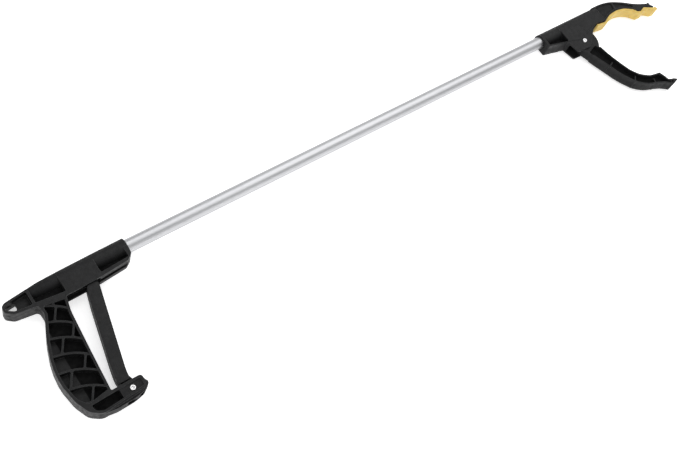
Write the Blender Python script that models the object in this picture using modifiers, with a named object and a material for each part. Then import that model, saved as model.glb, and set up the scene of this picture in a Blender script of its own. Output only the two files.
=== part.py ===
"""Reacher grabber: a pistol-grip handle with an outside trigger, a long aluminium shaft and a pair of jaws.

The model is drawn in the shaft's own frame, in millimetres: x runs along the shaft towards the jaws,
y points away from the grip and z points out of the side face. The shaft's axis is y = z = 0 and x = 0 is
the handle's front face. One empty carries every piece and lifts the tool so that it lies on its side on
z = 0 with the middle of its outline over the origin.

Squeezing turns the trigger about its rivet. The trigger pulls a rod back through the shaft, and the rod's
pin, running in a slot in the moving jaw's lever, turns the jaw up against the fixed one.
"""

import math

import bmesh
import bpy
from mathutils import Matrix, Vector

MM = 0.001
COLLECTION = "reacher_grabber"

# Clearances and the common side faces
GAP = 0.3
SIDE = 8.3

# Shaft tube and rod
TUBE_R = 6.35
TUBE_WALL = 1.0
TUBE_REAR = -28.0
TUBE_FRONT = 530.0
ROD_R = 1.25
GUIDE_LENGTH = 10.0
TUBE_PIN_R = 1.2
TUBE_PIN_SETBACK = 9.0
HEAD_PIN_SETBACK = 7.6

# Linkage
TRIGGER_PIVOT = (-59.5, -113.0)
JAW_PIVOT = (556.5, -24.0)
LINK_PIN_R = 1.5
REAR_PIN = (-37.5, 0.0)
FRONT_PIN = (566.07, -3.0)
LEVER_OPEN_ANGLE = 65.5
RIVET_R = 2.1
RIVET_HEAD_R = 2.7
RIVET_HEAD = 1.0

# Handle
BARREL = [(8.25, 0.0), (7.85, -30.0), (7.2, -60.0), (6.6, -76.0), (5.9, -91.5)]
WEB = 1.2
WALL = 2.0
RIB = 1.6
RIB_HALF = 7.6
SLOT_REAR = -66.0
BLOCK_END = -64.2
SLOT_FRONT = -34.0
SLOT_HALF = 6.6
CHAMBER_HALF = 5.2
CHAMBER_TOP = 3.7
CHAMBER_REAR = -62.4
CHAMBER_FRONT = -30.5
SPRING_BORE_R = 4.8
SPRING_SEAT = -80.0
GRIP_TILT = -33.0
RIB_FIRST = 62.0
RIB_PITCH = 13.1
RIB_ARCH = 1.6
RIB_MIDDLE = -54.0
RIB_DRIFT = 0.57
CELL_CORNER = 1.2
UPRIGHTS = [-55.3, -53.0, -37.8, -45.1, -26.8, -36.4, -19.1]

# Trigger
TRIGGER_HALF = 6.2
TONGUE_HALF = 4.0
EAR_INNER = 2.9
EAR_OUTER = 4.9

# Head and jaws
MOUTH = 510.3
BLOCK_REAR = 537.5
BLOCK_FRONT = 600.0
CAVITY_HALF = 5.5
FORK_BORE_R = 6.0
FORK_BORE_REAR = 531.8
JAW_HALF = 6.2
HUB_HALF = 5.2
HUB_R = 18.3
LEVER_HALF = 2.4
LEVER_R = 27.0
LEVER_SLOT = 2.0

# The whole tool's outline in x, and its lowest side face, place the root
OUTLINE_REAR = -114.85
OUTLINE_FRONT = 676.6
OUTLINE_LOW = -121.38
OUTLINE_HIGH = 8.25


# ---------------------------------------------------------------- scene set-up

def clear_scene():
    for obj in list(bpy.data.objects):
        bpy.data.objects.remove(obj, do_unlink=True)


def new_collection(name):
    collection = bpy.data.collections.new(name)
    bpy.context.scene.collection.children.link(collection)
    return collection


def material(name, colour, roughness, metallic):
    made = bpy.data.materials.new(name)
    made.use_nodes = True
    shader = made.node_tree.nodes["Principled BSDF"]
    shader.inputs["Base Color"].default_value = (*colour, 1.0)
    shader.inputs["Roughness"].default_value = roughness
    shader.inputs["Metallic"].default_value = metallic
    return made


def black_plastic(name):
    return material(name, (0.035, 0.036, 0.038), 0.45, 0.0)


def aluminium():
    return material("satin_aluminium", (0.80, 0.81, 0.82), 0.32, 1.0)


def steel(name):
    return material(name, (0.72, 0.72, 0.73), 0.28, 1.0)


def yellow_rubber():
    return material("yellow_rubber", (0.80, 0.58, 0.17), 0.60, 0.0)


def white_plastic():
    return material("guide_acetal", (0.85, 0.85, 0.82), 0.40, 0.0)


# ---------------------------------------------------------------- outlines

def arc(centre, radius, start, end, step=9.0):
    """Corners along an arc, in degrees, for use inside an outline."""
    count = max(2, math.ceil(abs(end - start) / step))
    angles = [math.radians(start + (end - start) * i / count) for i in range(count + 1)]
    return [(centre[0] + radius * math.cos(a), centre[1] + radius * math.sin(a), 0) for a in angles]


def rounded(corners, step=15.0):
    """Turn corners (x, y, fillet radius) into a closed loop of points."""
    loop = []
    for i, (x, y, radius) in enumerate(corners):
        here = Vector((x, y))
        back = Vector(corners[i - 1][:2]) - here
        ahead = Vector(corners[(i + 1) % len(corners)][:2]) - here
        turn = math.pi - back.angle(ahead)
        if radius <= 0 or turn < math.radians(2):
            loop.append(here)
            continue
        reach = min(radius * math.tan(turn / 2), 0.48 * back.length, 0.48 * ahead.length)
        bend = reach / math.tan(turn / 2)
        middle = (back.normalized() + ahead.normalized()).normalized()
        centre = here + middle * math.hypot(reach, bend)
        first = here + back.normalized() * reach - centre
        side = 1 if back.x * ahead.y - back.y * ahead.x < 0 else -1
        count = max(1, math.ceil(math.degrees(turn) / step))
        for k in range(count + 1):
            loop.append(centre + Matrix.Rotation(side * turn * k / count, 2) @ first)
    return loop


def inset(corners, distance):
    """Move every edge of an outline inwards, keeping its fillets concentric."""
    area = sum(a[0] * b[1] - b[0] * a[1] for a, b in zip(corners, corners[1:] + corners[:1]))
    sign = 1 if area > 0 else -1
    moved = []
    for i, (x, y, radius) in enumerate(corners):
        here = Vector((x, y))
        before = (here - Vector(corners[i - 1][:2])).normalized()
        after = (Vector(corners[(i + 1) % len(corners)][:2]) - here).normalized()
        inward = Vector((-before.y, before.x)) + Vector((-after.y, after.x))
        shift = inward * (sign * distance * 2 / inward.length_squared)
        convex = sign * (before.x * after.y - before.y * after.x) > 0
        kept = radius - distance if convex else radius + distance
        moved.append((x + shift.x, y + shift.y, max(kept, 0.5) if radius > 0 else 0))
    return moved


# ---------------------------------------------------------------- solids

class Builder:
    """Makes the solids, keeps them on one root and sorts parts from cutters."""

    def __init__(self):
        self.parts = new_collection(COLLECTION)
        self.cutters = new_collection("cutters")
        self.root = bpy.data.objects.new("tool_frame", None)
        self.parts.objects.link(self.root)

    def add(self, obj):
        for collection in list(obj.users_collection):
            collection.objects.unlink(obj)
        self.parts.objects.link(obj)
        return obj

    def mesh_object(self, name, mesh):
        return self.add(bpy.data.objects.new(name, mesh))

    def plate(self, name, outline, low, high, holes=()):
        """A flat outline, with holes, extruded from z = low to z = high."""
        curve = bpy.data.curves.new(name, "CURVE")
        curve.dimensions = "2D"
        curve.fill_mode = "BOTH"
        curve.extrude = (high - low) / 2 * MM
        for corners in (outline, *holes):
            points = rounded(corners)
            spline = curve.splines.new("POLY")
            spline.points.add(len(points) - 1)
            for slot, point in zip(spline.points, points):
                slot.co = (point.x * MM, point.y * MM, 0, 1)
            spline.use_cyclic_u = True
        drawn = self.add(bpy.data.objects.new(name + "_outline", curve))
        return self.as_mesh(name, drawn, (high + low) / 2 * MM)

    def as_mesh(self, name, drawn, height=0.0):
        """Replace a curve object by its closed mesh."""
        evaluated = drawn.evaluated_get(bpy.context.evaluated_depsgraph_get())
        mesh = bpy.data.meshes.new_from_object(evaluated)
        mesh.name = name
        work = bmesh.new()
        work.from_mesh(mesh)
        bmesh.ops.remove_doubles(work, verts=work.verts, dist=0.000001)
        bmesh.ops.translate(work, verts=work.verts, vec=(0, 0, height))
        bmesh.ops.recalc_face_normals(work, faces=work.faces)
        work.to_mesh(mesh)
        work.free()
        bpy.data.objects.remove(drawn, do_unlink=True)
        return self.mesh_object(name, mesh)

    def beam(self, name, side, start, end):
        """A section symmetric in z, given by its (z, y) points from the bottom up, run along x."""
        section = [(z, y, 0) for z, y in side] + [(-z, y, 0) for z, y in reversed(side)]
        obj = self.plate(name, section, start, end)
        obj.data.transform(Matrix.Rotation(math.pi / 2, 4, "Y"))
        return obj

    def block(self, name, low, high):
        """A box between two corners."""
        size = Vector(high) - Vector(low)
        middle = (Vector(high) + Vector(low)) / 2
        mesh = bpy.data.meshes.new(name)
        work = bmesh.new()
        matrix = Matrix.Translation(middle * MM) @ Matrix.Diagonal((*(size * MM), 1))
        bmesh.ops.create_cube(work, size=1, matrix=matrix)
        work.to_mesh(mesh)
        work.free()
        return self.mesh_object(name, mesh)

    def rod(self, name, radius, start, end, sides=32, end_radius=None):
        """A cylinder, or a cone, from start to end."""
        start = Vector(start) * MM
        end = Vector(end) * MM
        tip = radius if end_radius is None else end_radius
        turn = (end - start).to_track_quat("Z", "Y").to_matrix().to_4x4()
        mesh = bpy.data.meshes.new(name)
        work = bmesh.new()
        bmesh.ops.create_cone(
            work, cap_ends=True, segments=sides, radius1=radius * MM, radius2=tip * MM,
            depth=(end - start).length, matrix=Matrix.Translation((start + end) / 2) @ turn,
        )
        work.to_mesh(mesh)
        work.free()
        return self.mesh_object(name, mesh)

    def turned(self, name, profile, sides=48):
        """Turn a profile of (radius, x), listed from the front backwards, about the shaft's axis."""
        mesh = bpy.data.meshes.new(name)
        rim = [(r * MM, 0, x * MM) for r, x in profile]
        points = [(0, 0, rim[0][2]), *rim, (0, 0, rim[-1][2])]
        mesh.from_pydata(points, [(i, i + 1) for i in range(len(points) - 1)], [])
        obj = self.mesh_object(name, mesh)
        obj.rotation_euler = (0, math.pi / 2, 0)
        screw = obj.modifiers.new("turn", "SCREW")
        screw.axis = "Z"
        screw.steps = sides
        screw.render_steps = sides
        screw.use_merge_vertices = True
        screw.merge_threshold = 0.00001
        return obj

    def combine(self, target, operation, *tools):
        for tool in tools:
            step = target.modifiers.new(tool.name, "BOOLEAN")
            step.operation = operation
            step.solver = "EXACT"
            step.object = tool
            self.parts.objects.unlink(tool)
            self.cutters.objects.link(tool)
            tool.hide_render = True
            tool.display_type = "WIRE"
        return target

    def join(self, target, *tools):
        return self.combine(target, "UNION", *tools)

    def cut(self, target, *tools):
        return self.combine(target, "DIFFERENCE", *tools)

    def pivot(self, obj, x, y):
        """Move an object's origin to (x, y) without moving its shape."""
        shift = Vector((x, y, 0)) * MM
        obj.data.transform(Matrix.Translation(-shift))
        obj.location = shift
        return obj

    def finish(self):
        """Hang everything on the root and set the root on the ground plane."""
        for obj in list(self.parts.objects) + list(self.cutters.objects):
            if obj is not self.root:
                obj.parent = self.root
        middle_x = (OUTLINE_REAR + OUTLINE_FRONT) / 2
        middle_y = (OUTLINE_LOW + OUTLINE_HIGH) / 2
        self.root.location = (-middle_x * MM, -middle_y * MM, SIDE * MM)


def dress(obj, look, angle=35):
    obj.data.materials.clear()
    obj.data.materials.append(look)
    obj.data.shade_smooth()
    obj.data.set_sharp_from_angle(angle=math.radians(angle))
    return obj


# ---------------------------------------------------------------- handle

HANDLE_OUTLINE = [
    (0, -2, 0), (-0.6, -10.2, 4), (-7, -14.7, 4), (-32, -16.9, 30), (-50, -17.8, 30),
    (SLOT_REAR, -18, 0.8), (-69.3, -32, 25), (-72.6, -71, 90), (-75.2, -106.4, 1.2),
    (-48.4, -106.4, 2.5), (-47.9, -113.5, 3), (-51.2, -117.6, 3), (-64, -117.9, 10), (-80, -119.2, 20),
    (-89, -120.1, 10), (-98.4, -113.2, 10), (-103.6, -100.5, 16), (-106.4, -82, 30), (-104.6, -64, 40),
    (-97.8, -44, 60), (-88.7, -24.5, 6), (-88.9, -15.1, 3.5), (-108.8, -12.6, 6), (-115, -7.6, 4),
    (-114.6, -2.2, 3), (-111.5, -0.1, 2), (-92.5, 2.3, 0), (-90, 2.4, 0), (-90, -11.8, 1),
    (BLOCK_END, -14.4, 1), (BLOCK_END, -1, 0), (-31.5, -1, 0), (-31.5, -13.4, 1), (-4.2, -11.6, 1.5),
    (-4.2, -2, 0),
]
EYE_POCKET = [
    (-92.3, 0.7, 1), (-92.3, -12.2, 2), (-107.5, -10.4, 5), (-113.1, -6.4, 2.5), (-112.8, -1.9, 2),
]
GRIP_POCKET = [
    (-86.6, -17.2, 2), (-68.6, -20, 1), (-71.4, -32, 20), (-74.7, -71, 80), (-77, -104.4, 1),
    (-95.5, -107.2, 3), (-101.4, -99.6, 12), (-104.1, -81.6, 25), (-102.3, -64.6, 35), (-95.5, -45, 50),
    (-86.5, -25, 5),
]
FOOT_POCKET = [
    (-94.6, -109.4, 1.5), (-50.4, -108.4, 1.5), (-50.4, -115.6, 1.5), (-88.2, -117.9, 7), (-93.6, -114.6, 4),
]
FOOT_CROWN = [
    ((-48.2, -107.6, 1), (0, 0)), ((-48.0, -110.5, 2), (0.4, 0)), ((-47.9, -114.8, 3), (2.7, 0)),
    ((-52.0, -117.4, 6), (0, -1.9)), ((-61.0, -117.9, 20), (0, -3.2)), ((-77.5, -119.0, 14), (0, -2.4)),
    ((-88.5, -119.6, 6), (0, 0)), ((-95.9, -114.2, 4), (0, 0)), ((-95.9, -107.9, 0), (0, 0)),
]
CROWN_STEPS = [(7.2, 0.45), (5.6, 1.0)]
EYE_CENTRE = (-107.9, -5.0)
EYE_R = 4.4
EYE_PLATE = 1.7
CHEEK = 7.1
CHEEK_REAR = -69.5
FOOT_SLOT = (-68.3, -50.9)
FOOT_SLOT_HALF = 4.4
TOP_SLOPE_START = (-76.7, 6.4)
TOP_SLOPE = 10.8
SHOULDER = [(8.3, -3.0), (8.3, -0.95), (7.3, 2.6), (5.8, 4.7), (4.4, 5.3)]
GROOVE_HALF = 3.0
GROOVE = (-31.0, -6.0)


def grip_point(u, w):
    """From the ribs' own grid, tilted across the grip, to the side view."""
    tilt = math.radians(GRIP_TILT)
    return (u * math.cos(tilt) + w * math.sin(tilt), u * math.sin(tilt) - w * math.cos(tilt))


def rib_rise(u, height):
    """How far the rib at a height curves away from its straight line, at u across the grip."""
    middle = RIB_MIDDLE + RIB_DRIFT * (height - RIB_FIRST)
    return RIB_ARCH * (((u - middle) / 12) ** 2 - 1)


def grip_cell(left, right, row):
    """One pocket of the brickwork: its top and bottom follow the ribs' arch."""
    above = RIB_FIRST + RIB_PITCH * (row - 1)
    below = above + RIB_PITCH
    count = 8
    across = [left + (right - left) * i / count for i in range(count + 1)]
    upper = [(*grip_point(u, above + RIB / 2 + rib_rise(u, above)), 0) for u in across]
    lower = [(*grip_point(u, below - RIB / 2 + rib_rise(u, below)), 0) for u in across]
    for edge in (upper, lower):
        edge[0] = (*edge[0][:2], CELL_CORNER)
        edge[-1] = (*edge[-1][:2], CELL_CORNER)
    return upper + lower[::-1]


def grip_ribs(make):
    """Arched cross ribs with staggered uprights, filling the grip's pocket."""
    ribs = make.plate("grip_ribs", inset(GRIP_POCKET, -WALL / 2), -RIB_HALF, RIB_HALF)
    reach = 26
    for row, upright in enumerate(UPRIGHTS):
        for side, (left, right) in enumerate([
            (upright - reach, upright - RIB / 2), (upright + RIB / 2, upright + reach),
        ]):
            cell = make.plate(f"grip_cell_{row}_{side}", grip_cell(left, right, row), -SIDE - 1, SIDE + 1)
            make.cut(ribs, cell)
    return ribs


def foot_crown(make):
    """The foot's rounded underside, in two steps that swell towards the middle of its thickness."""
    plates = []
    for half, share in CROWN_STEPS:
        outline = [(x + dx * share, y + dy * share, r) for (x, y, r), (dx, dy) in FOOT_CROWN]
        plates.append(make.plate(f"foot_crown_{half}", outline, -half, half, [FOOT_POCKET]))
    return plates


def handle_body(make):
    pockets = [EYE_POCKET, GRIP_POCKET, FOOT_POCKET]
    handle = make.plate("handle_body", HANDLE_OUTLINE, -SIDE, SIDE, pockets)
    x, y = EYE_CENTRE
    eye_rim = [(x - 5.6, y - 5.6, 3), (x + 20, y - 8, 0), (x + 20, y + 6, 0), (x - 5.6, y + 4.0, 2)]
    web = [(-2, -4, 0), *inset(HANDLE_OUTLINE[1:-9], 0.9), (-91, 1.2, 0), (-86, -4, 0)]
    cheeks = [(CHEEK_REAR, -107.4, 0), (-49.4, -107.4, 0), (-49.4, -116.4, 0), (CHEEK_REAR, -117.2, 0)]
    make.join(
        handle,
        make.plate("handle_web", web, -WEB, WEB),
        make.turned("handle_barrel", BARREL),
        make.beam("handle_shoulder", SHOULDER, BLOCK_END + 0.05, -31.55),
        grip_ribs(make),
        make.plate("eye_plate", eye_rim, -EYE_PLATE, EYE_PLATE),
        make.plate("foot_cheeks", cheeks, -CHEEK, CHEEK),
        *foot_crown(make),
    )
    cut_barrel(make, handle)
    cut_trigger_way(make, handle)
    cut_foot(make, handle)
    make.cut(handle, make.rod("eye_hole", EYE_R, (x, y, -EYE_PLATE - 0.6), (x, y, EYE_PLATE + 0.6), 36))
    return dress(handle, black_plastic("handle_plastic"))


def cut_barrel(make, handle):
    """The sloping top at the rear, the shaft's socket, the spring's bore and the lock pin's hole."""
    x, y = TOP_SLOPE_START
    drop = math.tan(math.radians(TOP_SLOPE))
    above = [(x + 8, y + 8 * drop, 0), (-120, y + (-120 - x) * drop, 0), (-120, 20, 0), (x + 8, 20, 0)]
    pin_x = -TUBE_PIN_SETBACK
    make.cut(
        handle,
        make.plate("top_slope", above, -12, 12),
        make.rod("shaft_socket", TUBE_R + GAP, (TUBE_REAR - GAP, 0, 0), (5, 0, 0), 48),
        make.rod("rod_way", ROD_R + 2 * GAP, (CHAMBER_FRONT - 2, 0, 0), (TUBE_REAR + 2, 0, 0), 24),
        make.rod("spring_bore", SPRING_BORE_R, (SPRING_SEAT, 0, 0), (CHAMBER_FRONT - 10, 0, 0), 36),
        make.rod("lock_pin_hole", TUBE_PIN_R + GAP, (pin_x, 5.8, 0), (pin_x, 12, 0), 20),
    )


def cut_trigger_way(make, handle):
    """The chamber for the trigger's head, the slot under it and the shallow groove ahead of the slot."""
    chamber = [
        (CHAMBER_REAR, -16, 0), (SLOT_FRONT, -16, 0), (SLOT_FRONT, -9, 0), (CHAMBER_FRONT, -9, 0),
        (CHAMBER_FRONT, CHAMBER_TOP, 0), (CHAMBER_REAR, CHAMBER_TOP, 0),
    ]
    slot = [
        (SLOT_REAR, -25, 0), (SLOT_FRONT, -25, 0), (SLOT_FRONT, -14.4, 0), (-62.5, -14.4, 0),
        (SLOT_REAR, -16.3, 0),
    ]
    make.cut(
        handle,
        make.plate("head_chamber", chamber, -CHAMBER_HALF, CHAMBER_HALF),
        make.plate("trigger_slot", slot, -SLOT_HALF, SLOT_HALF),
        make.block("belly_groove", (GROOVE[0] - 4, -25, -GROOVE_HALF), (GROOVE[1], -13.6, GROOVE_HALF)),
    )


def cut_foot(make, handle):
    """The clevis slot, the rivet's hole and its two counterbores."""
    x, y = TRIGGER_PIVOT
    slot_rear, slot_front = FOOT_SLOT
    make.cut(
        handle,
        make.block("clevis_slot", (slot_rear, -125, -FOOT_SLOT_HALF), (slot_front, -100, FOOT_SLOT_HALF)),
        make.rod("rivet_hole", RIVET_R + GAP, (x, y, -12), (x, y, 12), 28),
        make.rod("foot_bore_front", RIVET_HEAD_R + 0.4, (x, y, CHEEK - 0.2), (x, y, 12), 32),
        make.rod("foot_bore_back", RIVET_HEAD_R + 0.4, (x, y, -12), (x, y, 0.2 - CHEEK), 32),
    )


# ---------------------------------------------------------------- trigger

TRIGGER_BACK = [
    (-47.6, -17.5, 3), (-52.6, -35, 60), (-58.9, -61, 90), (-64.8, -86, 60), (-67.3, -98, 20),
    (-67.4, -104.6, 4),
]
TRIGGER_FRONT = [
    (-57.0, -104.6, 1.5), (-56.4, -97.5, 30), (-47.2, -60.3, 90), (-41.2, -37.5, 80), (-36.4, -17.5, 3),
]
TONGUE_TOP = -99.0
TRIGGER_BOSS_R = 7.4
EAR_HALF = 4.4


def trigger_ears(make):
    """The trigger's head: two ears in line with the lever, open at the top for the rod's pin."""
    pivot = Vector(TRIGGER_PIVOT)
    pin = Vector(REAR_PIN)
    along = (pin - pivot).normalized()
    across = Vector((along.y, -along.x))
    reach = (pin - pivot).length + 0.9

    def at(out, side):
        return (*(pivot + along * out + across * side), 0)

    head = [at(88, -EAR_HALF), at(88, EAR_HALF - 0.8), at(reach - 6, EAR_HALF), at(reach, EAR_HALF - 1),
            at(reach, -EAR_HALF + 1), at(reach - 6, -EAR_HALF)]
    ears = make.plate("trigger_head", head, -EAR_OUTER, EAR_OUTER)
    width = LINK_PIN_R + GAP
    slot = [at(reach - 6.6, -width), at(reach - 6.6, width), at(reach + 4, width), at(reach + 4, -width)]
    fork = [at(reach - 9.5, -9), at(reach - 9.5, 9), at(reach + 4, 9), at(reach + 4, -9)]
    make.cut(
        ears,
        make.plate("pin_slot", slot, -8, 8),
        make.plate("fork_gap", fork, -EAR_INNER, EAR_INNER),
    )
    return ears


def trigger(make):
    lever = make.plate("trigger", TRIGGER_BACK + TRIGGER_FRONT, -TRIGGER_HALF, TRIGGER_HALF)
    x, y = TRIGGER_PIVOT
    tongue = [
        (x - 6.0, TONGUE_TOP, 0), (x - 5.4, y + 4, 0), (x + 5.6, y + 4, 0), (x + 2.2, TONGUE_TOP, 0),
    ]
    make.join(
        lever,
        make.plate("trigger_tongue", tongue, -TONGUE_HALF, TONGUE_HALF),
        make.rod("trigger_boss", TRIGGER_BOSS_R, (x, y, -TONGUE_HALF + 0.02), (x, y, TONGUE_HALF - 0.02), 40),
        trigger_ears(make),
    )
    make.cut(lever, make.rod("trigger_bore", RIVET_R + GAP, (x, y, -12), (x, y, 12), 28))
    return make.pivot(dress(lever, black_plastic("trigger_plastic")), x, y)


# ---------------------------------------------------------------- rivets

def rivet(make, name, at, seat, finish):
    """A semi-tubular rivet: a head at the back and a rolled, dimpled end on the front face."""
    x, y = at
    end = seat + RIVET_HEAD
    shank = make.rod(name, RIVET_R, (x, y, -seat - 0.4), (x, y, seat + 0.4), 28)
    make.join(
        shank,
        make.rod(name + "_head", RIVET_HEAD_R, (x, y, -end), (x, y, -seat), 32),
        make.rod(name + "_roll", RIVET_HEAD_R, (x, y, seat), (x, y, end), 32, RIVET_HEAD_R - 0.5),
    )
    dimple = make.rod(name + "_dimple", 0.7, (x, y, seat - 0.6), (x, y, end + 0.1), 20, 1.5)
    return dress(make.cut(shank, dimple), steel(finish))


# ---------------------------------------------------------------- shaft and rod

def shaft_tube(make):
    tube = make.rod("shaft_tube", TUBE_R, (TUBE_REAR, 0, 0), (TUBE_FRONT, 0, 0), 48)
    make.cut(
        tube,
        make.rod("tube_bore", TUBE_R - TUBE_WALL, (TUBE_REAR - 5, 0, 0), (TUBE_FRONT + 5, 0, 0), 48),
        *[make.rod(f"tube_pin_hole_{i}", TUBE_PIN_R + GAP, (x, 3, 0), (x, 9, 0), 20)
          for i, x in enumerate((-TUBE_PIN_SETBACK, head_pin_x()))],
    )
    return dress(tube, aluminium())


def head_pin_x():
    return MOUTH + HEAD_PIN_SETBACK


def tube_pin(make, name, x, top):
    """A short pin through the socket's top wall into the shaft."""
    pin = make.rod(name, TUBE_PIN_R, (x, TUBE_R - TUBE_WALL - 0.8, 0), (x, top, 0), 20)
    return dress(pin, steel(name + "_steel"))


def rod_guide(make, name, start):
    """A plug in the shaft's end that keeps the rod on the axis."""
    guide = make.rod(name, TUBE_R - TUBE_WALL - GAP, (start, 0, 0), (start + GUIDE_LENGTH, 0, 0), 40)
    bore = make.rod(name + "_bore", ROD_R + GAP, (start - 2, 0, 0), (start + GUIDE_LENGTH + 2, 0, 0), 24)
    return dress(make.cut(guide, bore), white_plastic())


ROD_REAR_END = REAR_PIN[0] + 3.2
ROD_FRONT_END = FRONT_PIN[0] - 11.5
REAR_BLOCK = (REAR_PIN[0] - 5.6, REAR_PIN[0] + 6.0)
REAR_BLOCK_HALF = 2.6
SPIGOT_R = 2.2
SPIGOT_END = -57.0


def pull_rod(make):
    rod = make.rod("pull_rod", ROD_R, (ROD_REAR_END, 0, 0), (ROD_FRONT_END, 0, 0), 20)
    return dress(rod, steel("rod_steel"))


def rod_end_rear(make):
    """The rod's rear block: it takes the trigger's pin and carries the spring's spigot."""
    rear, front = REAR_BLOCK
    body = make.block("rod_end_rear", (rear, -3.2, -REAR_BLOCK_HALF), (front, 3.2, REAR_BLOCK_HALF))
    make.join(body, make.rod("spigot", SPIGOT_R, (SPIGOT_END, 0, 0), (rear + 1, 0, 0), 24))
    x, y = REAR_PIN
    make.cut(
        body,
        make.rod("rear_rod_bore", ROD_R + GAP, (ROD_REAR_END - GAP, 0, 0), (front + 1, 0, 0), 20),
        make.rod("rear_pin_bore", LINK_PIN_R + GAP, (x, y, -8), (x, y, 8), 24),
    )
    return dress(body, white_plastic())


def rod_end_front(make):
    """The rod's front fork: its ears straddle the jaw's lever below the rod's own axis."""
    x, y = FRONT_PIN
    outer = 4.7
    inner = LEVER_HALF + GAP
    base = x - 14
    side = [(base, -3.2, 1), (base, 3.2, 1), (x - 6, 3.2, 1), (x + 3.4, y + 3.2, 3), (x + 3.4, y - 3.2, 3),
            (x - 4.2, y - 3.2, 2), (x - 7.4, -3.2, 1)]
    fork = make.plate("rod_end_front", side, -outer, outer)
    make.cut(
        fork,
        make.block("fork_way", (x - 8, -10, -inner), (x + 8, 10, inner)),
        make.rod("front_rod_bore", ROD_R + GAP, (base - 1, 0, 0), (ROD_FRONT_END + GAP, 0, 0), 20),
        make.rod("front_pin_bore", LINK_PIN_R + GAP, (x, y, -8), (x, y, 8), 24),
    )
    return dress(fork, white_plastic())


def link_pin(make, name, at, half):
    x, y = at
    return dress(make.rod(name, LINK_PIN_R, (x, y, -half), (x, y, half), 24), steel(name + "_steel"))


# ---------------------------------------------------------------- return spring

WASHER = (-45.6, -44.6)
SPRING_MEAN_R = 3.55
SPRING_WIRE_R = 0.4
SPRING_TURNS = 9
POINTS_PER_TURN = 12


def spring_washer(make):
    washer = make.rod("spring_washer", SPRING_BORE_R - 0.4, (WASHER[0], 0, 0), (WASHER[1], 0, 0), 32)
    hole = make.rod("washer_hole", SPIGOT_R + GAP, (WASHER[0] - 1, 0, 0), (WASHER[1] + 1, 0, 0), 24)
    return dress(make.cut(washer, hole), steel("washer_steel"))


def return_spring(make):
    start = SPRING_SEAT + GAP + SPRING_WIRE_R
    end = WASHER[0] - GAP - SPRING_WIRE_R
    count = SPRING_TURNS * POINTS_PER_TURN
    curve = bpy.data.curves.new("return_spring", "CURVE")
    curve.dimensions = "3D"
    curve.bevel_depth = SPRING_WIRE_R * MM
    curve.bevel_resolution = 2
    curve.use_fill_caps = True
    spline = curve.splines.new("POLY")
    spline.points.add(count)
    for i, point in enumerate(spline.points):
        angle = 2 * math.pi * i / POINTS_PER_TURN
        x = start + (end - start) * i / count
        point.co = (x * MM, SPRING_MEAN_R * math.cos(angle) * MM, SPRING_MEAN_R * math.sin(angle) * MM, 1)
    spring = make.as_mesh("return_spring", make.add(bpy.data.objects.new("spring_path", curve)))
    return dress(spring, steel("spring_steel"), 60)


# ---------------------------------------------------------------- head

HEAD_OUTLINE = [
    (MOUTH, -2, 0), (MOUTH, -12.2, 1.5), (522.4, -14.5, 20), (536.2, -18, 1), (539.8, -32.6, 2.5),
    (557.6, -33.4, 3.5), (575.6, -18.6, 2), (584.5, -12.6, 4), (BLOCK_FRONT, -14.2, 0),
    (BLOCK_FRONT, -1, 0), (BLOCK_REAR, -1, 0), (BLOCK_REAR, -16.4, 1), (513.2, -10.7, 1), (513.2, -2, 0),
]
HEAD_SHOULDER = [(8.3, -3.0), (8.3, 0.8), (7.6, 3.4), (6.2, 5.4), (4.6, 6.5)]
CHEEK_STEP = [
    (530, -15.6, 0), (538, -17.1, 0), (553, -21, 8), (567, -16.7, 10), (590, -12.2, 0), (590, -45, 0),
    (530, -45, 0),
]
LOWER_CHEEK = 7.5
FIXED_JAW = [
    (596, 7.1, 0), (611, 7.2, 40), (625.5, 4.4, 40), (640, -2.8, 40), (654, -12, 40), (669, -17.8, 8),
    (671.6, -16.6, 0.4), (671.2, -20.4, 0.8), (674.3, -24.4, 0.6), (672.7, -25, 1), (666.3, -22, 4),
    (660.8, -19.3, 3), (653.5, -21.9, 1.5), (649.8, -20.8, 1.5), (646.5, -16, 3), (636.5, -10.4, 14),
    (624.4, -7.6, 30), (611.5, -9.4, 20), (600, -14.2, 4), (596, -13.9, 0),
]
JAW_PANELS = [
    [(602, 5, 1), (602, -11.6, 1), (612, -7.4, 10), (623.2, -5.6, 1), (625.2, 2.4, 1), (611, 5.1, 30)],
    [
        (627.6, 1.6, 1), (625.6, -5.7, 1), (636.5, -8.4, 14), (645.2, -13.6, 3), (651, -12.9, 1),
        (640, -5.6, 30),
    ],
]
JAW_WEB = 4.7
SOCKET = [(7.9, BLOCK_FRONT - 0.05), (7.9, 530.0), (8.0, MOUTH)]


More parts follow.
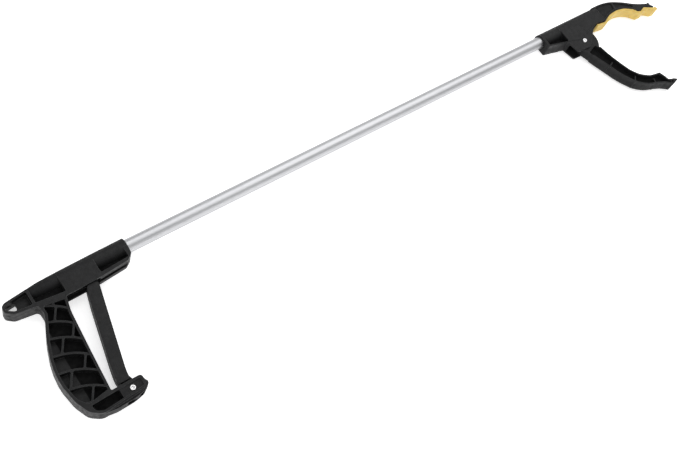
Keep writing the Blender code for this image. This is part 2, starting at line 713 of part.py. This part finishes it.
def head_body(make):
    head = make.plate("head_body", HEAD_OUTLINE, -SIDE, SIDE)
    web = [(512, -3, 0), (512, -11, 0), (540, -17.2, 0), (540, -3, 0)]
    make.join(
        head,
        make.plate("fixed_jaw", FIXED_JAW, -JAW_HALF, JAW_HALF, JAW_PANELS),
        make.plate("fixed_jaw_web", inset(FIXED_JAW, 0.8), -JAW_WEB, JAW_WEB),
        make.turned("head_socket", SOCKET),
        make.beam("head_shoulder", HEAD_SHOULDER, BLOCK_REAR + 0.05, BLOCK_FRONT - 0.1),
        make.plate("head_web", web, -WEB, WEB),
    )
    x, y = JAW_PIVOT
    cavity = [
        (539, 4.2, 1), (573.5, 4.2, 4), (575.4, -12, 3), (575.4, -60, 0), (530, -60, 0), (530, -24.5, 0),
        (539, -19.5, 1),
    ]
    make.cut(
        head,
        make.plate("jaw_cavity", cavity, -CAVITY_HALF, CAVITY_HALF),
        make.rod("fork_way_bore", FORK_BORE_R, (FORK_BORE_REAR, 0, 0), (541, 0, 0), 40),
        make.rod("head_socket_bore", TUBE_R + GAP, (MOUTH - 8, 0, 0), (TUBE_FRONT + GAP, 0, 0), 48),
        make.rod("head_rod_way", ROD_R + 2 * GAP, (TUBE_FRONT - 2, 0, 0), (534, 0, 0), 24),
        make.plate("cheek_step_front", CHEEK_STEP, LOWER_CHEEK, 12),
        make.plate("cheek_step_back", CHEEK_STEP, -12, -LOWER_CHEEK),
        make.rod("head_rivet_hole", RIVET_R + GAP, (x, y, -12), (x, y, 12), 28),
        make.rod("head_bore_front", RIVET_HEAD_R + 0.6, (x, y, SIDE - RIVET_HEAD - GAP), (x, y, 12), 32),
        make.rod("head_bore_back", RIVET_HEAD_R + 0.6, (x, y, -12), (x, y, -SIDE + RIVET_HEAD + GAP), 32),
        make.rod("head_pin_hole", TUBE_PIN_R + GAP, (head_pin_x(), 5.8, 0), (head_pin_x(), 12, 0), 20),
    )
    return dress(head, black_plastic("head_plastic"))


# ---------------------------------------------------------------- moving jaw

JAW_OUTLINE = [
    *arc(JAW_PIVOT, HUB_R, 12, -45), (572.4, -52, 60), (576.6, -65, 60), (581, -77.5, 25), (588.1, -87.4, 20),
    (598.4, -94.1, 14), (608.4, -95.9, 3), (612.4, -96.5, 1), (614.8, -102, 4), (616.6, -108.6, 2.5),
    (623.4, -110.2, 3), (627.6, -113.2, 0.5), (618.2, -115.8, 2), (609.3, -109.9, 6), (602, -107, 8),
    (588, -102.5, 25), (577, -94.6, 25), (566.2, -77.8, 40), (560.6, -63, 60), (555.6, -50.5, 60),
    (549.6, -34.4, 10), (546, -24, 10), (550, -15, 8), (562, -11.5, 5),
]
JAW_WALL = 1.6
JAW_RIBS = [
    ((568.5, -60.7), (561.0, -63.9)), ((581.2, -87.0), (575.6, -92.2)), ((600.0, -99.5), (598.0, -105.5)),
]
JAW_TIP_RIB = ((618.6, -109.0), (617.0, -115.0))


def strip(start, end, width):
    """The four corners of a straight rib, reaching a little into the walls at both ends."""
    a = Vector(start)
    b = Vector(end)
    along = (b - a).normalized()
    side = Vector((-along.y, along.x)) * width / 2
    a -= along * 0.5
    b += along * 0.5
    return [(*p, 0) for p in (a + side, b + side, b - side, a - side)]


def jaw_lever(make):
    """The lever inside the head, with the radial slot that the rod's pin runs in."""
    x, y = JAW_PIVOT
    along = Vector((math.cos(math.radians(LEVER_OPEN_ANGLE)), math.sin(math.radians(LEVER_OPEN_ANGLE))))
    across = Vector((-along.y, along.x))
    half = 3.8

    def at(out, side, radius):
        return (*(Vector((x, y)) + along * out + across * side), radius)

    arm = [at(0, -half, 0), at(LEVER_R, -half, half), at(LEVER_R, half, half), at(0, half, 0)]
    lever = make.plate("jaw_lever", arm, -LEVER_HALF, LEVER_HALF)
    ends = (18.6, 25.6)
    slot = [at(ends[0], -LEVER_SLOT, 1.9), at(ends[1], -LEVER_SLOT, 1.9), at(ends[1], LEVER_SLOT, 1.9),
            at(ends[0], LEVER_SLOT, 1.9)]
    return lever, make.plate("lever_slot", slot, -6, 6)


def moving_jaw(make):
    x, y = JAW_PIVOT
    jaw = make.plate("moving_jaw", JAW_OUTLINE, -JAW_HALF, JAW_HALF)
    pocket = [
        (565.5, -34, 1), (568.2, -38.5, 3), (571, -52, 60), (575.2, -65.5, 60), (579.6, -78.2, 25),
        (587.2, -88.6, 18), (597.8, -95.7, 14), (609.2, -97.6, 1), (613, -102.4, 3), (614.9, -109.6, 3),
        (622.4, -111.8, 1.5), (618, -114, 1), (609.7, -108.2, 6), (602.4, -105.3, 8), (589, -101, 25),
        (578.4, -93.6, 25), (567.8, -77.2, 40), (562.2, -62.5, 60), (557.2, -50, 60), (552.6, -38, 2),
    ]
    upper = make.plate("jaw_pocket_front", pocket, WEB, SIDE + 2)
    lower = make.plate("jaw_pocket_back", pocket, -SIDE - 2, -WEB)
    step = GAP + 19
    make.cut(
        jaw, upper, lower,
        make.rod("hub_step_front", step, (x, y, HUB_HALF), (x, y, SIDE + 2), 72),
        make.rod("hub_step_back", step, (x, y, -SIDE - 2), (x, y, -HUB_HALF), 72),
    )
    lever, slot = jaw_lever(make)
    ribs = [
        make.plate(f"jaw_rib_{i}", strip(a, b, 1.4), -JAW_HALF + 0.3, JAW_HALF - 0.3)
        for i, (a, b) in enumerate([*JAW_RIBS, JAW_TIP_RIB])
    ]
    make.join(jaw, lever, *ribs)
    make.cut(jaw, slot, make.rod("jaw_bore", RIVET_R + GAP, (x, y, -12), (x, y, 12), 28))
    return make.pivot(dress(jaw, black_plastic("jaw_plastic")), x, y)


# ---------------------------------------------------------------- liner

LINER = [
    (586.5, -13.1, 0.5), (600, -14.7, 4), (611.5, -9.8, 20), (624.4, -8, 30), (636.5, -10.8, 14),
    (646.2, -16.4, 3), (649.4, -21.2, 1.5), (653.5, -22.4, 1.5), (660.8, -19.8, 3), (666.3, -22.5, 4),
    (672.7, -25.5, 1), (674.6, -24.9, 0.5), (677, -27.4, 1.5), (675.5, -29.8, 1.5), (669.8, -28.6, 4),
    (665.5, -25, 4), (661.4, -23, 3), (657.2, -24.9, 1.5), (649.8, -24.7, 2), (646.4, -21.4, 3),
    (642.5, -17.4, 6), (635.5, -13.3, 14), (624.4, -10.6, 30), (612.6, -12.2, 20), (600.6, -17.2, 4),
    (588, -15.6, 1),
]


def jaw_liner(make):
    return dress(make.plate("jaw_liner", LINER, -JAW_HALF, JAW_HALF), yellow_rubber())


# ---------------------------------------------------------------- assembly

def build():
    clear_scene()
    make = Builder()
    handle_body(make)
    trigger(make)
    rivet(make, "trigger_rivet", TRIGGER_PIVOT, CHEEK + 0.1, "trigger_rivet_steel")
    shaft_tube(make)
    tube_pin(make, "handle_tube_pin", -TUBE_PIN_SETBACK, 8.2)
    tube_pin(make, "head_tube_pin", head_pin_x(), 7.9)
    rod_guide(make, "rod_guide_rear", TUBE_REAR + 0.5)
    rod_guide(make, "rod_guide_front", TUBE_FRONT - 0.5 - GUIDE_LENGTH)
    pull_rod(make)
    rod_end_rear(make)
    rod_end_front(make)
    link_pin(make, "trigger_link_pin", REAR_PIN, EAR_OUTER - 0.1)
    link_pin(make, "jaw_link_pin", FRONT_PIN, 4.6)
    spring_washer(make)
    return_spring(make)
    head_body(make)
    moving_jaw(make)
    rivet(make, "jaw_rivet", JAW_PIVOT, SIDE - RIVET_HEAD - 0.1, "jaw_rivet_steel")
    jaw_liner(make)
    make.finish()


build()
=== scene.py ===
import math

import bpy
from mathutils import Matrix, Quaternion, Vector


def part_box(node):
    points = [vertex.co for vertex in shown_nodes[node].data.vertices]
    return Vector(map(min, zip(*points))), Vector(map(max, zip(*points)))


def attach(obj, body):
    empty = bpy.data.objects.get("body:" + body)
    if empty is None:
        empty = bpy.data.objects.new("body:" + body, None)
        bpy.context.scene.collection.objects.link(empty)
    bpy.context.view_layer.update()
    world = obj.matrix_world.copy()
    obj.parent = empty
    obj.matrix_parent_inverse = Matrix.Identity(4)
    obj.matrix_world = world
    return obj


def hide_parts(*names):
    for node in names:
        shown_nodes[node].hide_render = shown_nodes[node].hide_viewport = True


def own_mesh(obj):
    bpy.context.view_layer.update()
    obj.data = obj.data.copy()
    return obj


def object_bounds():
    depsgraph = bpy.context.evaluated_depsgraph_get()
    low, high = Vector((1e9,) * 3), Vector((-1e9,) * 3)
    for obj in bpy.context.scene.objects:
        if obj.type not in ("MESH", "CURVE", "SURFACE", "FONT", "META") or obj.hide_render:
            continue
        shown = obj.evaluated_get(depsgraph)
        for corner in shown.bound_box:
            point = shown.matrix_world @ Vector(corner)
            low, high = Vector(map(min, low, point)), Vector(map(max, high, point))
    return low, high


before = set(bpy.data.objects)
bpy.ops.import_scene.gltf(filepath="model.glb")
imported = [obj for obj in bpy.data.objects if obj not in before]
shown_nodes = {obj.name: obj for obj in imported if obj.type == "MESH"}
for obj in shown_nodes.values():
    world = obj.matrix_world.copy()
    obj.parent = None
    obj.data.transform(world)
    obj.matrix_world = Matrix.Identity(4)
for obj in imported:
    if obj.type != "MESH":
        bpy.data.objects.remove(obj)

# Looks of the reacher grabber: procedural finishes and softened edges for the CAD nodes, a finely
# wound return spring, and a pale studio floor with soft light. All lengths are in metres.

cad_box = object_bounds()
MIDDLE_PLANE = (cad_box[0].z + cad_box[1].z) / 2

ROUND_SAMPLES = 6
WALL_SHARE = 0.3

# Sockets of the colour Mix node, which has several of the same name.
MIX_SHARE = 0
MIX_FIRST = 6
MIX_SECOND = 7
MIX_RESULT = 2


# ---------------------------------------------------------------- materials

class Look:
    """One procedural material: a Principled shader and the nodes that drive it."""

    def __init__(self, name, constants):
        self.made = bpy.data.materials.new(name)
        self.made.use_nodes = True
        self.tree = self.made.node_tree
        self.shader = self.tree.nodes["Principled BSDF"]
        for socket, value in constants.items():
            self.shader.inputs[socket].default_value = value
        self.place = self.node("ShaderNodeTexCoord").outputs["Object"]

    def node(self, kind, settings=None, inputs=None):
        made = self.tree.nodes.new(kind)
        for key, value in (settings or {}).items():
            setattr(made, key, value)
        for key, value in (inputs or {}).items():
            self.feed(made.inputs[key], value)
        return made

    def feed(self, socket, value):
        if isinstance(value, bpy.types.NodeSocket):
            self.tree.links.new(value, socket)
        else:
            socket.default_value = value

    def noise(self, scale, detail=3.0, stretch=(1, 1, 1), distortion=0.0):
        """Noise from 0 to 1 whose grains are about 1/scale metres, longer where stretch is small."""
        mapped = self.node("ShaderNodeMapping", inputs={"Vector": self.place, "Scale": stretch})
        made = self.node("ShaderNodeTexNoise", inputs={
            "Vector": mapped.outputs["Vector"], "Scale": scale, "Detail": detail, "Distortion": distortion,
        })
        return made.outputs["Fac"]

    def ranged(self, value, low_in, high_in, low, high):
        """A value carried from one range to another, and held at its ends."""
        made = self.node("ShaderNodeMapRange", inputs={
            "Value": value, "From Min": low_in, "From Max": high_in, "To Min": low, "To Max": high,
        })
        return made.outputs["Result"]

    def calculate(self, first, second, operation):
        return self.node("ShaderNodeMath", {"operation": operation}, {0: first, 1: second}).outputs[0]

    def sum(self, first, second):
        return self.calculate(first, second, "ADD")

    def product(self, first, second):
        return self.calculate(first, second, "MULTIPLY")

    def size_of(self, value):
        return self.calculate(value, 0.0, "ABSOLUTE")

    def blend(self, share, first, second):
        """The first colour, or its socket, mixed towards the second by a share from 0 to 1."""
        made = self.node("ShaderNodeMix", {"data_type": "RGBA"}, {
            MIX_SHARE: share, MIX_FIRST: colour(first), MIX_SECOND: colour(second),
        })
        return made.outputs[MIX_RESULT]

    def round_normal(self, radius):
        """The normal as if every edge had this radius."""
        return self.node("ShaderNodeBevel", {"samples": ROUND_SAMPLES}, {"Radius": radius}).outputs["Normal"]

    def face_normal(self):
        return self.node("ShaderNodeNewGeometry").outputs["Normal"]

    def edge_mask(self, rounded, reach):
        """1 along edges and 0 on open faces, from how far the rounded normal leans."""
        dot = self.node("ShaderNodeVectorMath", {"operation": "DOT_PRODUCT"}, {
            0: rounded, 1: self.face_normal(),
        })
        return self.ranged(dot.outputs["Value"], 1.0, 1.0 - reach, 0.0, 1.0)

    # Painted shade: this mask says where recesses of the black plastic are darkened as if shadowed.
    def recess_shade_mask(self, low, high, ahead_of):
        """From 1 on faces nearer the tool's middle plane than low to 0 on those beyond high.

        It is 0 behind a place in x, and weaker on walls than on faces that lie level.
        """
        place = self.node("ShaderNodeSeparateXYZ", inputs={"Vector": self.place})
        normal = self.node("ShaderNodeSeparateXYZ", inputs={"Vector": self.face_normal()})
        offset = self.size_of(self.calculate(place.outputs["Z"], MIDDLE_PLANE, "SUBTRACT"))
        ahead = self.calculate(place.outputs["X"], ahead_of, "GREATER_THAN")
        level = self.ranged(self.size_of(normal.outputs["Z"]), 0.2, 0.7, WALL_SHARE, 1.0)
        return self.product(self.product(self.ranged(offset, low, high, 1.0, 0.0), ahead), level)

    def bump(self, height, depth, normal=None, strength=1.0):
        made = self.node("ShaderNodeBump", inputs={"Height": height, "Distance": depth, "Strength": strength})
        if normal is not None:
            self.feed(made.inputs["Normal"], normal)
        return made.outputs["Normal"]

    def finish(self, base, roughness, normal):
        self.feed(self.shader.inputs["Base Color"], base)
        self.feed(self.shader.inputs["Roughness"], roughness)
        self.feed(self.shader.inputs["Normal"], normal)
        return self.made


def colour(value):
    return value if isinstance(value, bpy.types.NodeSocket) else (*value, 1.0)


# Painted shade: the near black that recesses are darkened towards.
RECESS_SHADE_BLACK = (0.0008, 0.0008, 0.0009)


def moulded_plastic(name, dark, light, edge_highlight_and_wear_tone, recess):
    """Black glass-filled plastic: spark-eroded grain, faint sink waves, edges painted lighter as part wear
    and part highlight, and painted shade in the recesses.
    """
    look = Look(name, {"Metallic": 0.0, "Specular IOR Level": 0.18})
    mottle = look.ranged(look.noise(130, 5), 0.32, 0.68, 0.0, 1.0)
    speck = look.ranged(look.noise(1150, 2), 0.35, 0.7, 0.0, 1.0)
    share = look.sum(look.product(mottle, 0.4), look.product(speck, 0.6))
    face = look.blend(share, dark, light)
    rounded = look.round_normal(0.0006)
    # Edges painted lighter: part real wear, part painted highlight.
    edge_breakup = look.ranged(look.noise(420, 3), 0.3, 0.62, 0.35, 1.0)
    edge = look.product(look.edge_mask(rounded, 0.28), edge_breakup)
    depth = look.recess_shade_mask(*recess)
    face_with_lit_edges = look.blend(look.product(edge, 0.85), face, edge_highlight_and_wear_tone)
    # Painted shade: recesses are darkened towards near black, and made rougher.
    base = look.blend(look.product(depth, 0.9), face_with_lit_edges, RECESS_SHADE_BLACK)
    satin = look.ranged(look.noise(310, 5), 0.3, 0.7, 0.36, 0.60)
    roughness = look.sum(satin, look.product(depth, 0.42))
    sink = look.bump(look.noise(95, 1), 0.00012, rounded, 0.4)
    grain = look.bump(look.noise(1050, 4), 0.00022, sink, 0.8)
    return look.finish(base, roughness, grain)


def satin_aluminium(name):
    """Anodised drawn tube: fine lengthwise lines, soft sheen and a few faint handling marks."""
    look = Look(name, {"Metallic": 1.0, "Anisotropic": 0.2})
    tangent = look.node("ShaderNodeTangent", {"direction_type": "RADIAL", "axis": "X"})
    look.feed(look.shader.inputs["Tangent"], tangent.outputs["Tangent"])
    lines = look.noise(1.0, 4, (9, 2400, 2400))
    bands = look.noise(1.0, 2, (3, 420, 420))
    marks = look.ranged(look.noise(60, 4, (1, 3, 3), 0.6), 0.6, 0.75, 0.0, 1.0)
    share = look.sum(look.product(lines, 0.65), look.product(bands, 0.35))
    face = look.blend(look.ranged(share, 0.35, 0.65, 0.0, 1.0), (0.44, 0.445, 0.46), (0.54, 0.545, 0.555))
    base = look.blend(look.product(marks, 0.25), face, (0.42, 0.425, 0.44))
    roughness = look.sum(look.ranged(share, 0.35, 0.65, 0.36, 0.44), look.product(marks, 0.05))
    return look.finish(base, roughness, look.bump(lines, 0.00002, look.round_normal(0.0002), 0.5))


def soft_rubber(name):
    """Pale yellow thermoplastic rubber: warm, slightly translucent, with a fine pebble, faint grime and edges
    painted paler as a highlight.
    """
    look = Look(name, {
        "Metallic": 0.0, "Specular IOR Level": 0.35, "Subsurface Weight": 0.25,
        "Subsurface Radius": (1.0, 0.55, 0.18), "Subsurface Scale": 0.0012,
    })
    cloud = look.ranged(look.noise(160, 4), 0.3, 0.7, 0.0, 1.0)
    tone = look.blend(cloud, (0.58, 0.40, 0.095), (0.70, 0.51, 0.145))
    rounded = look.round_normal(0.0007)
    # Painted highlight: edges are painted a paler yellow.
    edge_highlit_tone = look.blend(look.product(look.edge_mask(rounded, 0.3), 0.5), tone, (0.90, 0.70, 0.26))
    grime = look.ranged(look.noise(75, 5, distortion=0.4), 0.58, 0.74, 0.0, 0.28)
    base = look.blend(grime, edge_highlit_tone, (0.42, 0.28, 0.07))
    roughness = look.ranged(look.noise(320, 3), 0.3, 0.7, 0.46, 0.62)
    return look.finish(base, roughness, look.bump(look.noise(1300, 3), 0.00008, rounded, 0.5))


def bright_steel(name, tone=0.74, stretch=(1, 1, 1)):
    """Plated or drawn steel, with fine lines along whichever axis is stretched."""
    look = Look(name, {"Metallic": 1.0})
    lines = look.noise(900, 4, stretch)
    stain = look.ranged(look.noise(240, 4), 0.45, 0.75, 0.0, 0.5)
    face = look.blend(lines, (tone * 0.88, tone * 0.88, tone * 0.89), (tone, tone, tone * 1.01))
    base = look.blend(stain, face, (tone * 0.62, tone * 0.6, tone * 0.57))
    roughness = look.ranged(lines, 0.3, 0.7, 0.17, 0.33)
    return look.finish(base, roughness, look.bump(lines, 0.00003, look.round_normal(0.0003), 0.5))


def natural_acetal(name):
    """Off-white bearing plastic, waxy, with faint turning lines."""
    look = Look(name, {"Metallic": 0.0, "Subsurface Weight": 0.2, "Subsurface Scale": 0.001})
    cloud = look.ranged(look.noise(300, 4), 0.3, 0.7, 0.0, 1.0)
    base = look.blend(cloud, (0.74, 0.73, 0.68), (0.83, 0.82, 0.78))
    rings = look.noise(700, 2, (1, 0.1, 0.1))
    roughness = look.ranged(rings, 0.3, 0.7, 0.34, 0.48)
    return look.finish(base, roughness, look.bump(rings, 0.00004, look.round_normal(0.0004), 0.4))


# Dark, light and lit-and-worn edge tones of the black plastic, and where the shade painted into its recesses
# begins, ends and stops in x.
BLACK = ((0.0060, 0.0061, 0.0064), (0.0175, 0.0178, 0.0184), (0.125, 0.126, 0.130))
TAIL_LENGTH = 0.023
DEEP = (0.0016, 0.0081, cad_box[0].x + TAIL_LENGTH)
SHALLOW = (0.0016, 0.0058, cad_box[0].x)
ALONG_X = (0.02, 1.6, 1.6)
SPUN = (1.4, 1.4, 0.3)

looks = {
    "handle_body": moulded_plastic("handle_moulding", *BLACK, DEEP),
    "head_body": moulded_plastic("head_moulding", *BLACK, SHALLOW),
    "trigger": moulded_plastic("trigger_moulding", *BLACK, SHALLOW),
    "moving_jaw": moulded_plastic("jaw_moulding", *BLACK, SHALLOW),
    "shaft_tube": satin_aluminium("satin_anodised_tube"),
    "jaw_liner": soft_rubber("yellow_liner_rubber"),
    "trigger_rivet": bright_steel("trigger_rivet_plating", 0.86, SPUN),
    "jaw_rivet": bright_steel("jaw_rivet_plating", 0.86, SPUN),
    "pull_rod": bright_steel("drawn_rod_steel", 0.70, ALONG_X),
    "trigger_link_pin": bright_steel("trigger_pin_steel", 0.72, SPUN),
    "jaw_link_pin": bright_steel("jaw_pin_steel", 0.72, SPUN),
    "handle_tube_pin": bright_steel("handle_lock_pin_steel", 0.62, SPUN),
    "head_tube_pin": bright_steel("head_lock_pin_steel", 0.62, SPUN),
    "spring_washer": bright_steel("washer_plating", 0.70),
    "rod_end_rear": natural_acetal("rear_rod_end_acetal"),
    "rod_end_front": natural_acetal("front_rod_end_acetal"),
    "rod_guide_rear": natural_acetal("rear_guide_plastic"),
    "rod_guide_front": natural_acetal("front_guide_plastic"),
}


# ---------------------------------------------------------------- softened CAD edges

def smooth_shading_group(name, crease):
    """Geometry nodes that shade faces smooth, and keep the edges over the crease angle sharp."""
    tree = bpy.data.node_groups.new(name, "GeometryNodeTree")
    tree.interface.new_socket("Geometry", in_out="INPUT", socket_type="NodeSocketGeometry")
    tree.interface.new_socket("Geometry", in_out="OUTPUT", socket_type="NodeSocketGeometry")
    start = tree.nodes.new("NodeGroupInput")
    faces = tree.nodes.new("GeometryNodeSetShadeSmooth")
    bend = tree.nodes.new("GeometryNodeInputMeshEdgeAngle")
    mild = tree.nodes.new("FunctionNodeCompare")
    mild.operation = "LESS_THAN"
    mild.inputs["B"].default_value = crease
    edges = tree.nodes.new("GeometryNodeSetShadeSmooth")
    edges.domain = "EDGE"
    end = tree.nodes.new("NodeGroupOutput")
    tree.links.new(start.outputs[0], faces.inputs["Geometry"])
    tree.links.new(faces.outputs["Geometry"], edges.inputs["Geometry"])
    tree.links.new(bend.outputs["Unsigned Angle"], mild.inputs["A"])
    tree.links.new(mild.outputs["Result"], edges.inputs["Shade Smooth"])
    tree.links.new(edges.outputs["Geometry"], end.inputs[0])
    return tree


WELD_DISTANCE = 0.000002
FLAT_WITHIN = math.radians(1)
ROUND_BEYOND = math.radians(38)
CREASE_BEYOND = math.radians(33)


def soften(node, width):
    """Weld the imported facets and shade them; with a width, join the flat ones and round the edges."""
    weld = node.modifiers.new("weld", "WELD")
    weld.merge_threshold = WELD_DISTANCE
    smooth = node.modifiers.new("smooth_shading", "NODES")
    smooth.node_group = ROUNDED if width > 0 else CREASED
    if width > 0:
        flat = node.modifiers.new("flat_faces", "DECIMATE")
        flat.decimate_type = "DISSOLVE"
        flat.angle_limit = FLAT_WITHIN
        edge = node.modifiers.new("edge_radius", "BEVEL")
        edge.width = width
        edge.segments = 2
        edge.limit_method = "ANGLE"
        edge.angle_limit = ROUND_BEYOND
        edge.use_clamp_overlap = False
        edge.miter_outer = "MITER_ARC"
    normals = node.modifiers.new("face_normals", "WEIGHTED_NORMAL")
    normals.mode = "FACE_AREA_WITH_ANGLE"
    normals.weight = 100
    normals.keep_sharp = width <= 0


ROUNDED = smooth_shading_group("rounded_shading", math.pi)
CREASED = smooth_shading_group("creased_shading", CREASE_BEYOND)
SMALL_EDGE = 0.00012
EDGE_RADIUS = {
    "handle_body": 0, "head_body": 0.00035, "trigger": 0.0004, "moving_jaw": 0.0003,
    "jaw_liner": 0.00045, "trigger_rivet": 0.00015, "jaw_rivet": 0.00015,
}
for name, look in looks.items():
    shown_nodes[name].material_slots[0].material = look
    soften(shown_nodes[name], EDGE_RADIUS.get(name, SMALL_EDGE))


# ---------------------------------------------------------------- return spring

WIRE_R = 0.0004
COIL_TURNS = 9
STEPS_PER_TURN = 28
WIRE_SIDES = 10
END_PITCH = 0.55


def coil_share(turn):
    """How far along the spring a turn lies: the first and last turns are wound closer."""
    bulge = math.sin(2 * math.pi * turn / COIL_TURNS) * (1 - END_PITCH) / (2 * math.pi)
    return turn / COIL_TURNS - bulge


def wound_spring(low, high):
    """A round wire wound on the axis of a box, closed at both ends."""
    middle = (low + high) / 2
    radius = (high.y - low.y) / 2 - WIRE_R
    length = high.x - low.x - 2 * WIRE_R
    count = COIL_TURNS * STEPS_PER_TURN
    points = []
    faces = []
    for i in range(count + 1):
        turn = i / STEPS_PER_TURN
        angle = 2 * math.pi * turn
        out = Vector((0, math.cos(angle), math.sin(angle)))
        centre = Vector((low.x + WIRE_R + length * coil_share(turn), middle.y, middle.z)) + out * radius
        for k in range(WIRE_SIDES):
            around = 2 * math.pi * k / WIRE_SIDES
            points.append(centre + (out * math.cos(around) + Vector((1, 0, 0)) * math.sin(around)) * WIRE_R)
    for i in range(count):
        for k in range(WIRE_SIDES):
            a = i * WIRE_SIDES + k
            b = i * WIRE_SIDES + (k + 1) % WIRE_SIDES
            faces.append((a, b, b + WIRE_SIDES, a + WIRE_SIDES))
    faces.append(tuple(range(WIRE_SIDES))[::-1])
    faces.append(tuple(range(count * WIRE_SIDES, (count + 1) * WIRE_SIDES)))
    mesh = bpy.data.meshes.new("wound_return_spring")
    mesh.from_pydata(points, [], faces)
    mesh.shade_smooth()
    return mesh


spring_low, spring_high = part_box("return_spring")
spring = bpy.data.objects.new("wound_return_spring", wound_spring(spring_low, spring_high))
bpy.context.scene.collection.objects.link(spring)
spring.data.materials.append(bright_steel("spring_wire_steel", 0.55))
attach(spring, "frame")
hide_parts("return_spring")
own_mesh(spring)


# ---------------------------------------------------------------- floor, light and camera

FLOOR_HALF = 20.0
FLOOR_DROP = 0.0003
FLOOR_GLOW = 0.55


def pale_floor():
    """A wide white floor that glows a little, so that shadows on it stay faint."""
    mesh = bpy.data.meshes.new("floor")
    corners = [(x * FLOOR_HALF, y * FLOOR_HALF, 0) for x, y in ((-1, -1), (1, -1), (1, 1), (-1, 1))]
    mesh.from_pydata(corners, [], [(0, 1, 2, 3)])
    floor = bpy.data.objects.new("floor", mesh)
    floor.location.z = -FLOOR_DROP
    bpy.context.scene.collection.objects.link(floor)
    look = Look("pale_floor", {
        "Roughness": 0.14, "Specular IOR Level": 0.35,
        "Emission Color": (1.0, 1.0, 1.0, 1.0), "Emission Strength": FLOOR_GLOW,
    })
    base = look.blend(look.noise(3, 2), (0.93, 0.93, 0.935), (0.95, 0.95, 0.952))
    look.feed(look.shader.inputs["Base Color"], base)
    mesh.materials.append(look.made)


def softbox(name, place, width, height, power):
    """A rectangular lamp that faces the middle of the tool."""
    light = bpy.data.lights.new(name, "AREA")
    light.shape = "RECTANGLE"
    light.size = width
    light.size_y = height
    light.energy = power
    lamp = bpy.data.objects.new(name, light)
    lamp.location = place
    lamp.rotation_mode = "QUATERNION"
    lamp.rotation_quaternion = (-Vector(place)).to_track_quat("-Z", "Y")
    bpy.context.scene.collection.objects.link(lamp)


def studio_surround(strength):
    world = bpy.data.worlds.new("studio")
    world.use_nodes = True
    background = world.node_tree.nodes["Background"]
    background.inputs["Color"].default_value = (1.0, 1.0, 1.0, 1.0)
    background.inputs["Strength"].default_value = strength
    bpy.context.scene.world = world


FOCAL_LENGTH_MM = 52.508
CAMERA_PLACE = (-0.508127, -0.243285, 0.794665)
CAMERA_TURN = Quaternion((0.926777, 0.185757, -0.186184, -0.268168))


def photograph_camera():
    lens = bpy.data.cameras.new("camera")
    lens.sensor_width = 36
    lens.lens = FOCAL_LENGTH_MM
    lens.clip_start = 0.05
    lens.clip_end = 30
    camera = bpy.data.objects.new("camera", lens)
    camera.location = CAMERA_PLACE
    camera.rotation_mode = "QUATERNION"
    camera.rotation_quaternion = CAMERA_TURN
    bpy.context.scene.collection.objects.link(camera)
    bpy.context.scene.camera = camera


pale_floor()
studio_surround(0.62)
softbox("key_softbox", (0.8, 0.42, 1.6), 2.4, 1.7, 19)
softbox("fill_softbox", (-1.3, -0.5, 1.2), 1.0, 1.0, 5)
softbox("low_softbox", (0.1, -1.7, 0.40), 2.4, 0.4, 5)
photograph_camera()
bpy.context.scene.view_settings.view_transform = "Standard"
